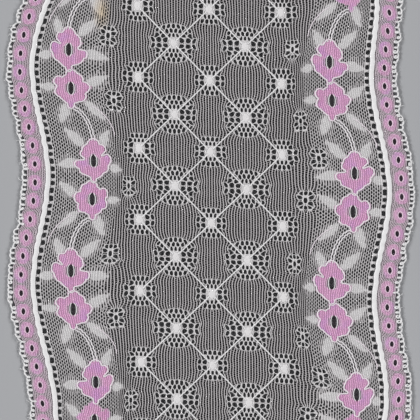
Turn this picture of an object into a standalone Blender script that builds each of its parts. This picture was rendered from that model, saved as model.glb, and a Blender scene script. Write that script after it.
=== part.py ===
"""A cut length of stretch lace, a Raschel galloon lying flat.

One knitted band is one solid. Its outline carries the picot teeth and waves in step
on both sides. The cordons, braid rings, flowers, leaves, knots and lattice threads
are raised in the points of its top face, and the flower eyes are cut through.
Every feature is placed in straight pattern coordinates u, v (across, along), and
lay() then bends the pattern into the way that the band lies.
"""

import math

import bmesh
import bpy
from mathutils import Vector
from mathutils.geometry import delaunay_2d_cdt

MM = 0.001

# The cut length, in millimetres
CUT_LENGTH = 182.0
CUT_CENTRE = 1.7          # the middle of the cut, along the pattern
END_STEP = 4.58           # spacing of points along the straight cut ends
HALF_WIDTH = 76.1         # centre line to picot tips
SHEET = 1.0               # thickness of the knitted ground
REPEAT = 82.2             # length of one pattern repeat

# How the band lies
SKEW = 0.048              # rows drop towards +X
LEAN = 0.010              # the centre line leans
WAVE = 3.0                # the edges swing this far to either side
WAVE_CREST = 10.1         # v where the swing to +X is widest
WAVE_FROM, WAVE_FULL = 30.0, 46.0
BORDER_EASE = 0.035       # the stretchier border is this much longer
EASE_FROM, EASE_FULL = 28.0, 46.0
DRAW_IN = 3.0             # the edges draw in towards the ends
DRAW_SPAN = 81.0
DRAW_POWER = 5
DRAW_FROM, DRAW_FULL = 52.0, 66.0

# Picot edge
PICOTS = 45               # in each repeat
PICOT_DEPTH = 1.9

# Braid of rings along each edge
BRAID_LINE = 70.5
BRAID_RINGS = 12          # in each repeat
BRAID_PHASE = {-1: 0.15, 1: 1.30}
RING_SIZE = (2.5, 2.8)    # half width, half length
RING_RISE = 0.30

# Cordon
CORDON_LINE = 65.7
CORDON_HALF = 0.75
CORDON_RISE = 0.70
CORDON_STEP = REPEAT / 16

# Lattice of medallions with a knot in each
LATTICE_PITCH = 13.7      # between rows
COLUMN_PITCH = 13.75      # between columns
LATTICE_PHASE = -4.96
MEDALLION_LARGE = (8.5, 8.1)
MEDALLION_SMALL = (6.5, 6.5)
MEDALLION_SINK = 0.30
KNOT_SIZE = (1.75, 2.2)
KNOT_RISE = 0.45
THREAD_HALF = 0.35
THREAD_RISE = 0.30

# Flowers, in pairs that step in and out along the border
FLOWER_LINE = 50.2
FLOWER_RISE = 0.45
FLOWER_BEVEL = 0.16
EYE_SIZE = (1.12, 2.50)
LEAF_RISE = 0.20
PETAL_POINTS = 24
PETAL_CORE = 0.50         # the flower is at least this wide between its petals
UPPER_PETALS = (
    # direction in degrees, reach, radius of its round end
    (90, 1.05, 0.30), (128, 0.94, 0.22), (172, 1.00, 0.25), (203, 0.88, 0.25),
    (240, 0.78, 0.28), (266, 0.82, 0.24), (271, 1.00, 0.14), (302, 0.78, 0.28),
    (326, 0.86, 0.24), (348, 0.97, 0.18), (36, 0.76, 0.20), (60, 0.84, 0.24),
)
LOWER_PETALS = (
    (90, 0.94, 0.26), (118, 0.72, 0.30), (153, 1.00, 0.25), (176, 0.79, 0.30), (199, 0.89, 0.20),
    (226, 0.76, 0.28), (256, 0.78, 0.24), (270, 1.03, 0.17), (294, 0.80, 0.24),
    (322, 0.92, 0.22), (343, 0.80, 0.30), (6, 1.00, 0.27), (46, 0.86, 0.23), (70, 0.85, 0.24),
)
FLOWERS = (
    # v, step across, half width, half height, hand
    {"v": 57.2, "step": -1.3, "wide": 7.5, "tall": 8.0, "hand": 1, "petals": UPPER_PETALS},
    {"v": 42.9, "step": -0.8, "wide": 7.1, "tall": 7.3, "hand": 1, "petals": LOWER_PETALS},
    {"v": 16.0, "step": 2.5, "wide": 7.5, "tall": 8.0, "hand": -1, "petals": UPPER_PETALS},
    {"v": 1.7, "step": 2.1, "wide": 6.9, "tall": 7.3, "hand": -1, "petals": LOWER_PETALS},
)
LEAVES = (
    # offset across and along from the eye, direction in degrees, half length, half width
    {"upper": True, "across": -5.8, "along": 8.6, "turn": 125, "long": 3.9, "wide": 1.4},
    {"upper": True, "across": 6.1, "along": 8.7, "turn": 48, "long": 4.4, "wide": 1.6},
    {"upper": True, "across": -9.6, "along": -2.2, "turn": 5, "long": 3.0, "wide": 1.4},
    {"upper": True, "across": 9.9, "along": -1.4, "turn": -10, "long": 3.9, "wide": 1.6},
    {"upper": False, "across": -9.2, "along": 0.2, "turn": 0, "long": 3.0, "wide": 1.3},
    {"upper": False, "across": 9.6, "along": 3.5, "turn": 35, "long": 4.0, "wide": 1.4},
    {"upper": False, "across": -4.4, "along": -9.4, "turn": 58, "long": 4.4, "wide": 1.5},
    {"upper": False, "across": 7.9, "along": -7.9, "turn": -47, "long": 4.4, "wide": 1.4},
)

REPEATS = range(-2, 3)
LEAST_FACE = 1e-3         # a thinner face between points in line is left out


def smooth(value, start, end):
    t = min(1.0, max(0.0, (value - start) / (end - start)))
    return t * t * (3.0 - 2.0 * t)


def along_scale(u):
    return 1.0 + BORDER_EASE * smooth(abs(u), EASE_FROM, EASE_FULL)


def edge_wave(v):
    return WAVE * math.cos(2.0 * math.pi * (v - WAVE_CREST) / REPEAT)


def lay(u, v):
    """Pattern coordinates to the lying band: ease, skew, lean, wave and draw-in."""
    y = v * along_scale(u) - SKEW * u
    x = u + edge_wave(v) * smooth(abs(u), WAVE_FROM, WAVE_FULL) - LEAN * y
    pull = DRAW_IN * (abs(y) / DRAW_SPAN) ** DRAW_POWER * smooth(abs(u), DRAW_FROM, DRAW_FULL)
    return x - math.copysign(pull, u), y


def end_v(u, end):
    """Where the straight cut at the top (1) or bottom (-1) crosses the pattern."""
    return (CUT_CENTRE + end * CUT_LENGTH / 2.0 + SKEW * u) / along_scale(u)


def loop_points(centre, radius_at, count, scale=1.0):
    """A closed loop round a centre; radius_at gives the half sizes at each angle."""
    points = []
    for i in range(count):
        angle = 2.0 * math.pi * i / count
        across, along = radius_at(angle)
        points.append((centre[0] + scale * across, centre[1] + scale * along))
    return points


def ellipse_radius(size):
    return lambda angle: (size[0] * math.cos(angle), size[1] * math.sin(angle))


def petal_radius(flower):
    """Round petals that stand out from a core: the furthest circle in each direction.

    The dense flowers stay upright while the edge waves, so the wave is taken out again.
    """
    def radius(angle):
        total = PETAL_CORE ** 9
        for direction, reach, end in flower["petals"]:
            away = angle - math.radians(direction)
            middle = reach - end
            inside = end ** 2 - (middle * math.sin(away)) ** 2
            if inside > 0.0 and math.cos(away) > 0.0:
                total += (middle * math.cos(away) + math.sqrt(inside)) ** 9
        r = total ** (1.0 / 9.0)
        along = flower["tall"] * r * math.sin(angle)
        drift = edge_wave(flower["v"] + along) - edge_wave(flower["v"])
        return flower["hand"] * flower["wide"] * r * math.cos(angle) - drift, along
    return radius


class Relief:
    """Collects the constraint lines of the top face, and the height rule of each feature."""

    def __init__(self):
        self.points = []
        self.edges = []
        self.rules = []
        self.holes = []

    def line(self, points, closed=False):
        first = len(self.points)
        self.points.extend(points)
        last = len(self.points) - 1
        self.edges.extend((i, i + 1) for i in range(first, last))
        if closed:
            self.edges.append((last, first))

    def ridge(self, start, end, half, rise):
        """A straight raised thread: two feet and a crest."""
        direction = Vector((end[0] - start[0], end[1] - start[1]))
        side = Vector((-direction.y, direction.x)).normalized() * half
        for shift in (-1, 0, 1):
            offset = side * shift
            self.line([
                (start[0] + offset.x, start[1] + offset.y),
                (end[0] + offset.x, end[1] + offset.y),
            ])
        length = direction.length

        def rule(u, v):
            away = Vector((u - start[0], v - start[1]))
            along = away.dot(direction) / length
            if along < -1e-6 or along > length + 1e-6:
                return 0.0
            return rise * max(0.0, 1.0 - abs(away.dot(side)) / half ** 2)

        self.rules.append(rule)

    def pad(self, centre, radius_at, count, rise, top):
        """A raised pad: its foot loop, and a top loop at this share of its size."""
        foot = loop_points(centre, radius_at, count)
        crest = loop_points(centre, radius_at, count, top)
        self.line(foot, closed=True)
        self.line(crest, closed=True)

        def rule(u, v):
            share = share_of(centre, foot, u, v)
            return rise * min(1.0, max(0.0, (1.0 - share) / (1.0 - top)))

        self.rules.append(rule)


def share_of(centre, loop, u, v):
    """How far out a point lies in a star-shaped loop: 0 at its centre, 1 on the loop."""
    du, dv = u - centre[0], v - centre[1]
    reach = max(abs(du), abs(dv))
    if reach < 1e-9:
        return 0.0
    for i, first in enumerate(loop):
        second = loop[(i + 1) % len(loop)]
        a = (first[0] - centre[0], first[1] - centre[1])
        b = (second[0] - centre[0], second[1] - centre[1])
        cross = a[0] * b[1] - a[1] * b[0]
        s = (du * b[1] - dv * b[0]) / cross
        t = (a[0] * dv - a[1] * du) / cross
        if s >= -1e-9 and t >= -1e-9:
            return s + t
    return 2.0


def outline():
    """The band's edge in pattern coordinates, anticlockwise, with picot teeth."""
    pitch = REPEAT / PICOTS / 2.0
    sides = {}
    for side in (-1, 1):
        low, high = end_v(side * HALF_WIDTH, -1), end_v(side * HALF_WIDTH, 1)
        first, last = math.ceil(low / pitch) + 1, math.floor(high / pitch) - 1
        valley = side * (HALF_WIDTH - PICOT_DEPTH)
        points = [(valley, end_v(valley, -1))]
        for i in range(first, last + 1):
            points.append((side * HALF_WIDTH if i % 2 else valley, i * pitch))
        points.append((valley, end_v(valley, 1)))
        sides[side] = points
    across = [
        side * (CORDON_LINE + shift * CORDON_HALF)
        for side in (-1, 1) for shift in (-1, 0, 1)
    ]
    across = sorted(across + [step * END_STEP for step in range(-15, 16)])
    bottom = [(u, end_v(u, -1)) for u in across]
    top = [(u, end_v(u, 1)) for u in reversed(across)]
    return bottom + sides[1] + top + sides[-1][::-1]


def add_cordons(relief):
    for side in (-1, 1):
        for shift in (-1, 0, 1):
            u = side * (CORDON_LINE + shift * CORDON_HALF)
            low, high = end_v(u, -1), end_v(u, 1)
            steps = range(math.ceil(low / CORDON_STEP + 0.2), math.floor(high / CORDON_STEP - 0.2) + 1)
            relief.line([(u, low)] + [(u, i * CORDON_STEP) for i in steps] + [(u, high)])
    relief.rules.append(
        lambda u, v: CORDON_RISE * max(0.0, 1.0 - abs(abs(u) - CORDON_LINE) / CORDON_HALF)
    )


def inside_ends(u, v, margin):
    return end_v(u, -1) + margin < v < end_v(u, 1) - margin


def add_braid(relief):
    pitch = REPEAT / BRAID_RINGS
    for side in (-1, 1):
        for i in range(-2 * BRAID_RINGS, 2 * BRAID_RINGS):
            centre = (side * BRAID_LINE, BRAID_PHASE[side] + i * pitch)
            if inside_ends(*centre, RING_SIZE[1]):
                relief.pad(centre, ellipse_radius(RING_SIZE), 6, RING_RISE, 0.55)


def lattice_knots():
    """Centre and whether its medallion is a large one, for each knot near the band."""
    for row in range(-7, 9):
        columns = (-1, 1) if row % 2 else (-2, 0, 2)
        for column in columns:
            yield (column * COLUMN_PITCH, LATTICE_PHASE + row * LATTICE_PITCH), row % 2 == 1


def add_lattice(relief):
    dishes = []
    for centre, large in lattice_knots():
        if not inside_ends(*centre, -MEDALLION_LARGE[1]):
            continue
        size = MEDALLION_LARGE if large else MEDALLION_SMALL
        rim = loop_points(centre, ellipse_radius(size), 12)
        relief.line(rim, closed=True)
        dishes.append((centre, rim))
        relief.pad(centre, ellipse_radius(KNOT_SIZE), 6, KNOT_RISE, 0.55)
        for side in (-1, 1):
            other = (centre[0] + side * COLUMN_PITCH, centre[1] - LATTICE_PITCH)
            if abs(other[0]) < 2.5 * COLUMN_PITCH:
                start = Vector(centre).lerp(Vector(other), 0.11)
                end = Vector(centre).lerp(Vector(other), 0.89)
                relief.ridge(tuple(start), tuple(end), THREAD_HALF, THREAD_RISE)
    return dishes


def border_flowers():
    for repeat in REPEATS:
        for side in (-1, 1):
            for order, flower in enumerate(FLOWERS):
                centre = (side * FLOWER_LINE + flower["step"], flower["v"] + repeat * REPEAT)
                yield centre, flower, order % 2 == 0


def add_flowers(relief):
    for centre, flower, upper in border_flowers():
        if not inside_ends(*centre, -1.2 * flower["tall"]):
            continue
        relief.pad(centre, petal_radius(flower), PETAL_POINTS, FLOWER_RISE, 1.0 - FLOWER_BEVEL)
        eye = loop_points(centre, ellipse_radius(EYE_SIZE), 10)
        relief.line(eye, closed=True)
        relief.holes.append((centre, eye))
        for leaf in LEAVES:
            if leaf["upper"] != upper:
                continue
            add_leaf(relief, centre, flower["hand"], leaf)


def add_leaf(relief, eye, hand, leaf):
    """A pointed leaf: six points round a crest line."""
    turn = math.radians(leaf["turn"])
    middle = (eye[0] + hand * leaf["across"], eye[1] + leaf["along"])

    def radius(angle):
        along = leaf["long"] * math.cos(angle)
        across = leaf["wide"] * math.sin(angle)
        return (
            hand * (along * math.cos(turn) - across * math.sin(turn)),
            along * math.sin(turn) + across * math.cos(turn),
        )

    relief.pad(middle, radius, 6, LEAF_RISE, 0.5)


def height(relief, dishes, u, v):
    """Top of the sheet at a pattern point: the ground, less the dish, plus the highest feature."""
    sink = 0.0
    for centre, rim in dishes:
        if abs(u - centre[0]) < MEDALLION_LARGE[0] and abs(v - centre[1]) < MEDALLION_LARGE[1]:
            sink = max(sink, MEDALLION_SINK * min(1.0, 1.4 * (1.0 - min(1.0, share_of(centre, rim, u, v)))))
    rise = max(rule(u, v) for rule in relief.rules)
    return SHEET - sink + rise


def in_loop(loop, u, v):
    inside = False
    for i, (u1, v1) in enumerate(loop):
        u2, v2 = loop[i - 1]
        if (v1 > v) != (v2 > v) and u < (u2 - u1) * (v - v1) / (v2 - v1) + u1:
            inside = not inside
    return inside


def triangulate(points, edges, edge_loop, holes):
    """Triangles of the band's face between the given lines, without its outside and its eyes."""
    points, _, faces, *_ = delaunay_2d_cdt([Vector(p) for p in points], edges, [], 0, 1e-3)
    kept = []
    for face in faces:
        a, b, c = (points[i] for i in face)
        if (b - a).cross(c - a) < LEAST_FACE:
            continue
        u, v = (a + b + c) / 3.0
        if not in_loop(edge_loop, u, v):
            continue
        near = (loop for centre, loop in holes if abs(u - centre[0]) < 5 and abs(v - centre[1]) < 5)
        if not any(in_loop(loop, u, v) for loop in near):
            kept.append(tuple(face))
    return points, kept


def boundary_of(faces):
    sides = {}
    for face in faces:
        for i in range(3):
            sides[(face[i], face[(i + 1) % 3])] = True
    return [side for side in sides if side[::-1] not in sides]


def band_mesh():
    relief = Relief()
    edge_loop = outline()
    relief.line(edge_loop, closed=True)
    add_cordons(relief)
    add_braid(relief)
    dishes = add_lattice(relief)
    add_flowers(relief)
    points, faces = triangulate(relief.points, relief.edges, edge_loop, relief.holes)

    mesh = bmesh.new()

    def vertex(point, z):
        x, y = lay(point.x, point.y)
        return mesh.verts.new((x * MM, (y - CUT_CENTRE) * MM, z * MM))

    used = sorted({i for face in faces for i in face})
    top = {i: vertex(points[i], height(relief, dishes, points[i].x, points[i].y)) for i in used}
    for face in faces:
        mesh.faces.new([top[i] for i in face])

    rim = boundary_of(faces)
    order = sorted({i for side in rim for i in side})
    place = {i: n for n, i in enumerate(order)}
    low_edges = [(place[a], place[b]) for a, b in rim]
    low_points, low_faces = triangulate(
        [points[i] for i in order], low_edges, edge_loop, relief.holes
    )
    low = [vertex(point, 0.0) for point in low_points]
    for face in low_faces:
        mesh.faces.new([low[i] for i in reversed(face)])
    for a, b in rim:
        mesh.faces.new([top[b], top[a], low[place[a]], low[place[b]]])
    bmesh.ops.recalc_face_normals(mesh, faces=mesh.faces)
    return mesh


def yarn_material():
    material = bpy.data.materials.new("nylon and elastane lace")
    material.use_nodes = True
    surface = material.node_tree.nodes["Principled BSDF"]
    surface.inputs["Base Color"].default_value = (0.70, 0.66, 0.68, 1.0)
    surface.inputs["Roughness"].default_value = 0.75
    surface.inputs["Metallic"].default_value = 0.0
    return material


def main():
    for obj in list(bpy.data.objects):
        bpy.data.objects.remove(obj, do_unlink=True)
    mesh = band_mesh()
    data = bpy.data.meshes.new("lace_band")
    mesh.to_mesh(data)
    mesh.free()
    data.materials.append(yarn_material())
    band = bpy.data.objects.new("lace_band", data)
    bpy.context.scene.collection.objects.link(band)


main()
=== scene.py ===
import math

import bpy
import numpy as np
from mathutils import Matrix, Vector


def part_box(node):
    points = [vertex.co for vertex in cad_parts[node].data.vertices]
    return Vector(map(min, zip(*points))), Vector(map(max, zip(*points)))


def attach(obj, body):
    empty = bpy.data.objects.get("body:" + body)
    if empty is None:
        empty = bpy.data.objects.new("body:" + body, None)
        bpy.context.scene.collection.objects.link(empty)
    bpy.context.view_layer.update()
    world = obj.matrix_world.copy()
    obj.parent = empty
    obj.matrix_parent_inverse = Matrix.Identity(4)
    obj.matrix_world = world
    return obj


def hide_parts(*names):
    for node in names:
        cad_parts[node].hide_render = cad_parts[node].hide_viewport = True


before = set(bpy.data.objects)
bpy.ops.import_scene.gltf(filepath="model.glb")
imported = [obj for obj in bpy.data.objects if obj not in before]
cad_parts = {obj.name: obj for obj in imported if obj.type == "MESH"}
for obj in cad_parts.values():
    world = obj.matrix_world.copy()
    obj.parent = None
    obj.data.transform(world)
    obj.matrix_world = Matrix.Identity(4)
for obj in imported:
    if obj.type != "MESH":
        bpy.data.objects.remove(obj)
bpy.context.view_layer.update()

# A cut length of stretch lace, knitted in one band and lying flat on a plain floor.
# Every thread is worked out in pattern coordinates u (across) and v (along), in millimetres.
# relaxedWales() finds where the knit settles, and lay() bends the pattern into the lying band.

bandLow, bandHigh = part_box("lace_band")
mm = 0.001

band = {
    "length": (bandHigh[1] - bandLow[1]) / mm,
    "centreAlong": 1.7,        # the middle of the cut, along the pattern
    "repeat": 82.2,
    "repeats": (-2, 3),        # enough of them to pass both cut ends
    "skew": 0.048,             # rows drop towards +X
    "lean": 0.010,             # the centre line leans
    "wave": 3.0,               # the edges swing this far to either side
    "waveCrest": 10.1,
    "waveZone": (30.0, 46.0),
    "needle": 0.80,            # the edge moves over by this much at a time
    "slant": (0.15, 0.85),     # the share of each move in which the threads slant
    "needleZone": (60.0, 63.3),
    "braidZone": (66.4, 67.6),
    "ease": 0.035,             # the stretchier border is this much longer
    "easeZone": (28.0, 46.0),
    "drawIn": 3.0,             # the edges draw in towards the ends
    "drawSpan": 81.0,          # by all of that, this far from the middle
    "drawPower": 5,
    "drawZone": (52.0, 66.0),
}

# The braid at each edge is a row of pink discs, each with an eye.
braid = {
    "rings": 12,                 # in each repeat
    "phase": {-1: 0.15, 1: 1.30},
    "disc": (2.45, 2.95),        # half width and half length
    "eye": (0.78, 1.18),
    "eyeYarn": 0.45,             # added to the eye's gap for the yarn beside it
    "upright": (0.3, 0.7),       # the share of each pitch in which the wave moves on
    "meshFrom": 1.2,             # the mesh starts this far out from the cordon's outer wale
    "dot": 0.35,                 # half length of the small hole between two discs
}


def smoothStep(value, start, end):
    # 0 before the start and 1 after the end, with a smooth cubic between.
    t = np.clip((value - start) / (end - start), 0.0, 1.0)
    return t * t * (3.0 - 2.0 * t)


def alongScale(u):
    # 1 in the ground, and more by the ease in the borders.
    return 1.0 + band["ease"] * smoothStep(np.abs(u), *band["easeZone"])


def stepped(shift):
    # The edge moves over by one needle at a time, with a short level run between two moves.
    turn = shift / band["needle"]
    whole = np.floor(turn)
    return band["needle"] * (whole + smoothStep(turn - whole, *band["slant"]))


def edgeWave(v):
    # A cosine along the band, one wave in each repeat.
    return band["wave"] * np.cos(2.0 * np.pi * (v - band["waveCrest"]) / band["repeat"])


def discByDisc(u, v):
    # The same v for all of one disc, moving on between two discs, so that each disc stays upright.
    pitch = band["repeat"] / braid["rings"]
    phase = np.where(u < 0.0, braid["phase"][-1], braid["phase"][1])
    turn = (v - phase) / pitch
    whole = np.floor(turn)
    return phase + pitch * (whole + smoothStep(turn - whole, *braid["upright"]))


def lay(u, v):
    # Pattern to the lying band: length eased at the borders, rows skewed, edges waved and drawn in.
    y = v * alongScale(u) - band["skew"] * u
    wave = edgeWave(v)
    wave = wave + (stepped(wave) - wave) * smoothStep(np.abs(u), *band["needleZone"])
    wave = wave + (edgeWave(discByDisc(u, v)) - wave) * smoothStep(np.abs(u), *band["braidZone"])
    x = u + wave * smoothStep(np.abs(u), *band["waveZone"]) - band["lean"] * y
    pull = band["drawIn"] * (np.abs(y) / band["drawSpan"]) ** band["drawPower"]
    return x - np.sign(u) * pull * smoothStep(np.abs(u), *band["drawZone"]), y - band["centreAlong"]


def placed(u, v, z):
    # Pattern points at height z over the lying band.
    x, y = lay(u, v)
    return np.stack([x, y, np.broadcast_to(z, x.shape)], axis=-1)


def endV(u, end):
    # Where the straight cut at the top (1) or bottom (-1) crosses the pattern.
    return (band["centreAlong"] + end * band["length"] / 2.0 + band["skew"] * u) / alongScale(u)


def inBand(u, v, margin=0.0):
    # Inside both cuts by the margin.
    return (v > endV(u, -1) + margin) & (v < endV(u, 1) - margin)


# The wales are the chains of stitches that run along the band, and a gap is the space between two.
wales = {
    "groundPitch": 13.75 / 13,   # 13 wales between two columns of knots
    "groundCount": 37,           # wales of fine ground on each side of the centre
    "netCount": 28,
    "netEdge": 62.8,             # the thin wale inside the ladder
    "cordonPair": (65.0, 66.4),
    "dotLine": 67.0,             # between two columns of small dots beside the cordon
    "braidLine": 70.5,
    "braidPitch": 0.64,
    "braidCount": 10,
}


def waleLines():
    # Half of the wales from the centre out, and the same mirrored.
    pitch = wales["groundPitch"]
    ground = pitch * (np.arange(wales["groundCount"]) + 0.5)
    net = np.linspace(ground[-1], wales["netEdge"], wales["netCount"] + 1)[1:]
    count = wales["braidCount"]
    outer = wales["braidLine"] + wales["braidPitch"] * (np.arange(count) - (count - 1) / 2.0)
    half = np.concatenate([ground, net, wales["cordonPair"], [wales["dotLine"]], outer])
    return np.concatenate([-half[::-1], half])


waleU = waleLines()
gapU = (waleU[1:] + waleU[:-1]) / 2.0
gapNominal = np.diff(waleU)


def nearestGap(u):
    return int(np.argmin(np.abs(gapU - u)))


lattice = {
    "rowPitch": 13.7,
    "columnPitch": 13.75,
    "phase": -4.96,
    "rows": (-7, 9),             # enough of them to pass both cut ends
    "bandPitch": 1.78,           # between rows of medallion holes
    "firstBand": 1.15,
    "bandShare": 0.55,           # of that pitch, to either side of a row, is drawn together
    "holeHalf": 0.98,            # half length of a hole
    "bend": (0.0, 0.1, 0.6, 1.4),    # how far each row of holes has bent at bendGap
    "bendGap": 6.0,
    "bridge": 0.27,              # half the ground left between the two middle rows
    "bundle": 0.12,              # between the two wales that are drawn together
    "knot": (2, 2.0),            # the knot's furthest gap and half length
    "reach": (8, 9.0),           # a medallion is drawn this far out, in gaps and along
    "widened": (7, 9.0),         # and its holes seek their widths this far out
}
# For each row of holes out from the middle: the furthest open gap, and the widths of the gaps from 0 out.
largeHoles = {
    1: (7, (1.2, 1.2, 1.2, 2.3, 2.3, 2.3, 1.9, 1.7)),
    2: (6, (1.2, 1.2, 1.2, 1.4, 2.1, 1.9, 1.9, 1.7)),
    3: (5, (1.5, 1.5, 1.5, 1.5, 1.7, 1.8, 1.8, 1.8)),
    4: (6, (1.5, 1.5, 1.5, 1.5, 1.5, 1.6, 1.6, 1.6)),
}
smallHoles = {
    1: (5, (1.2, 1.2, 1.2, 2.2, 2.2, 1.7, 1.7, 1.7)),
    2: (4, (1.2, 1.2, 1.2, 1.4, 1.8, 1.7, 1.7, 1.7)),
    3: (3, (1.6, 1.6, 1.6, 1.6, 1.6, 1.6, 1.6, 1.6)),
}

# Each petal is a round end: direction in degrees, reach, radius, in shares of the flower's half size.
upperPetals = (
    (90, 1.05, 0.30), (128, 0.94, 0.22), (172, 1.00, 0.25), (203, 0.88, 0.25), (240, 0.78, 0.28),
    (266, 0.82, 0.24), (271, 1.00, 0.14), (302, 0.78, 0.28), (326, 0.86, 0.24), (348, 0.97, 0.18),
    (36, 0.76, 0.20), (60, 0.84, 0.24),
)
lowerPetals = (
    (90, 0.94, 0.26), (118, 0.72, 0.30), (153, 1.00, 0.25), (176, 0.79, 0.30), (199, 0.89, 0.20),
    (226, 0.76, 0.28), (256, 0.78, 0.24), (270, 1.03, 0.17), (294, 0.80, 0.24), (322, 0.92, 0.22),
    (343, 0.80, 0.30), (6, 1.00, 0.27), (46, 0.86, 0.23), (70, 0.85, 0.24),
)

border = {
    "line": 50.2,
    "flowers": [
        {"v": 57.2, "step": -1.3, "wide": 7.5, "tall": 8.0, "hand": 1, "upper": True, "petals": upperPetals},
        {"v": 42.9, "step": -0.8, "wide": 7.1, "tall": 7.3, "hand": 1, "upper": False, "petals": lowerPetals},
        {"v": 16.0, "step": 2.5, "wide": 7.5, "tall": 8.0, "hand": -1, "upper": True, "petals": upperPetals},
        {"v": 1.7, "step": 2.1, "wide": 6.9, "tall": 7.3, "hand": -1, "upper": False, "petals": lowerPetals},
    ],
    "leaves": [
        {"upper": True, "across": -5.8, "along": 8.6, "turn": 125, "long": 4.4, "wide": 1.5},
        {"upper": True, "across": 6.1, "along": 8.7, "turn": 48, "long": 4.8, "wide": 1.7},
        {"upper": True, "across": -9.6, "along": -2.2, "turn": 5, "long": 3.2, "wide": 1.5},
        {"upper": True, "across": 9.9, "along": -1.4, "turn": -10, "long": 4.2, "wide": 1.7},
        {"upper": False, "across": -9.2, "along": 0.2, "turn": 0, "long": 3.2, "wide": 1.4},
        {"upper": False, "across": 9.6, "along": 3.5, "turn": 35, "long": 4.4, "wide": 1.5},
        {"upper": False, "across": -4.4, "along": -9.4, "turn": 58, "long": 4.8, "wide": 1.6},
        {"upper": False, "across": 7.9, "along": -7.9, "turn": -47, "long": 4.8, "wide": 1.5},
    ],
    "leafTaper": 0.45,           # a leaf is this much wider near its flower and narrower at its tip
    "slitShare": (1.15, 2.2),    # the slit ground reaches this much further than a leaf, along and across it
    "eye": (1.12, 2.50),
    "eyeYarn": 0.35,             # added to the eye's gap for the yarn beside it
    "slits": {1: 1.9, 2: 1.6},   # half length of the fine slits beside the eye, by gap
    "core": 0.50,                # a flower is at least this share of its size between its petals
    "blend": 9,                  # a higher power joins the petals more sharply
    "innerLine": 38.5,           # the net starts here
    "innerStep": 1.0,            # and steps in and out by this much with the pairs of flowers
    "pairMiddle": 50.1,
    "leafReach": 17,             # no leaf lies further from its eye
    "flowerReach": 10,
}

# Small rosettes, ten holes round a long one, between the flowers and the lattice.
rosettes = [
    {"u": -38.1, "v": 64.0}, {"u": -36.3, "v": 39.7}, {"u": -31.7, "v": 7.8},
    {"u": 32.1, "v": 63.0}, {"u": 35.1, "v": 35.5}, {"u": 40.3, "v": 21.2}, {"u": 35.6, "v": 5.3},
]
rosetteShape = {
    "middle": 1.25,              # half length of the hole in the middle
    "ring": {0: (1.80, 3.70), 1: (1.75, 3.50), 2: (0.18, 2.20)},    # start and end of the others, by gap
    "width": 1.5,
    "sideWidth": 1.9,
    "drawn": 3.8,                # the knitting is drawn together this far along
    "reach": (2, 5.0),           # the furthest gap, and a length that holds all of it
    "middleRing": 1.2,           # half length of the yarn round the middle hole
    # gap, distance along and half length of the yarn round the other holes
    "rings": ((0, 2.75, 0.92), (1, 2.62, 0.85), (-1, 2.62, 0.85), (2, 1.19, 0.95), (-2, 1.19, 0.95)),
}

kindNames = ["ground", "net", "slit", "leaf", "pink", "eyeSlit", "open", "closed", "knot",
             "ladder", "under", "dots", "mesh", "disc"]
kindOf = {name: i for i, name in enumerate(kindNames)}


def knotCentres():
    # Rows of two large and of three small medallions in turn.
    found = []
    for row in range(*lattice["rows"]):
        for column in ((-1, 1) if row % 2 else (-2, 0, 2)):
            found.append({
                "u": column * lattice["columnPitch"], "v": lattice["phase"] + row * lattice["rowPitch"],
                "holes": largeHoles if row % 2 else smallHoles, "column": column,
            })
    return found


def flowerCentres():
    # Four flowers in each repeat on both sides of the band.
    found = []
    for repeat in range(*band["repeats"]):
        for side in (-1, 1):
            for flower in border["flowers"]:
                u = side * border["line"] + flower["step"]
                v = flower["v"] + repeat * band["repeat"]
                found.append({**flower, "u": u, "gap": nearestGap(u), "v": v})
    return found


def rosetteCentres():
    return [
        {"u": rosette["u"], "gap": nearestGap(rosette["u"]), "v": rosette["v"] + repeat * band["repeat"]}
        for rosette in rosettes for repeat in range(*band["repeats"])
    ]


def ringCentres():
    # The discs of the braid, evenly spaced along each edge.
    pitch = band["repeat"] / braid["rings"]
    return [
        {"gap": nearestGap(side * wales["braidLine"]), "u": side * wales["braidLine"],
         "v": braid["phase"][side] + i * pitch}
        for side in (-1, 1) for i in range(-2 * braid["rings"], 2 * braid["rings"])
    ]


def petalRadius(angle, petals):
    # The furthest round end in each direction, over a core, joined softly as the root of a sum of powers.
    power = border["blend"]
    total = np.full(np.shape(angle), border["core"] ** power)
    for direction, reach, end in petals:
        away = angle - math.radians(direction)
        inside = end ** 2 - ((reach - end) * np.sin(away)) ** 2
        far = (reach - end) * np.cos(away) + np.sqrt(np.maximum(inside, 0.0))
        total = total + np.where((inside > 0.0) & (np.cos(away) > 0.0), far, 0.0) ** power
    return total ** (1.0 / power)


def drift(v, flower):
    # The wave at v less the wave at the flower's middle, because the dense flowers stay upright through it.
    return edgeWave(v) - edgeWave(flower["v"])


def petalPoint(angle, flower):
    # The point of a flower's outline in a direction from its middle.
    r = petalRadius(angle, flower["petals"])
    v = flower["v"] + flower["tall"] * r * np.sin(angle)
    return flower["u"] + flower["hand"] * flower["wide"] * r * np.cos(angle) - drift(v, flower), v


def insidePetals(du, dv, flower):
    # Whether a point is nearer than the petals reach, in shares of the half sizes.
    p, q = flower["hand"] * du / flower["wide"], dv / flower["tall"]
    return np.hypot(p, q) < petalRadius(np.arctan2(q, p), flower["petals"])


def holeLine(row, k):
    # How far from the knot's middle the holes of a row lie in gap k: the outer rows bend round it.
    straight = lattice["firstBand"] + lattice["bandPitch"] * (row - 1)
    return straight - lattice["bend"][row - 1] * (k / lattice["bendGap"]) ** 2


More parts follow.
